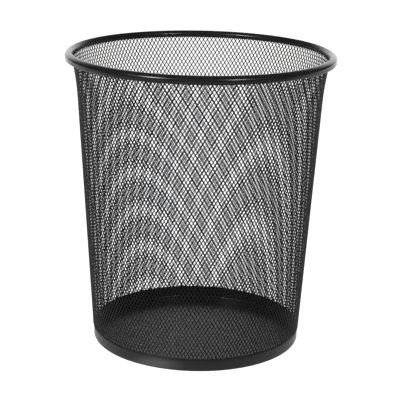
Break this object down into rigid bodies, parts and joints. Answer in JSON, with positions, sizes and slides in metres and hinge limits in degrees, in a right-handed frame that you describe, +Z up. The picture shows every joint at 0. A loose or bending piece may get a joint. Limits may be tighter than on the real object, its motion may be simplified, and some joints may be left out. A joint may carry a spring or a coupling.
{
  "type": "wastebasket",
  "caption": "Round open-top wastebasket with a tapering expanded-metal mesh wall, a rolled tube rim and a shallow pressed base pan.",
  "frame": {"origin": "centre of the base pan's underside, on the floor", "axes": "+Z up along the basket's axis; the wall's lap seam faces +X, and the basket is otherwise the same all round"},
  "size_m": [0.295, 0.295, 0.326],
  "materials": {
    "rim_coating": "satin black powder coat",
    "mesh_coating": "satin black powder coat",
    "base_coating": "satin black powder coat"
  },
  "bodies": {
    "root": {"rim_tube": "rim_coating", "mesh_wall": "mesh_coating", "base_pan": "base_coating"}
  },
  "joints": []
}
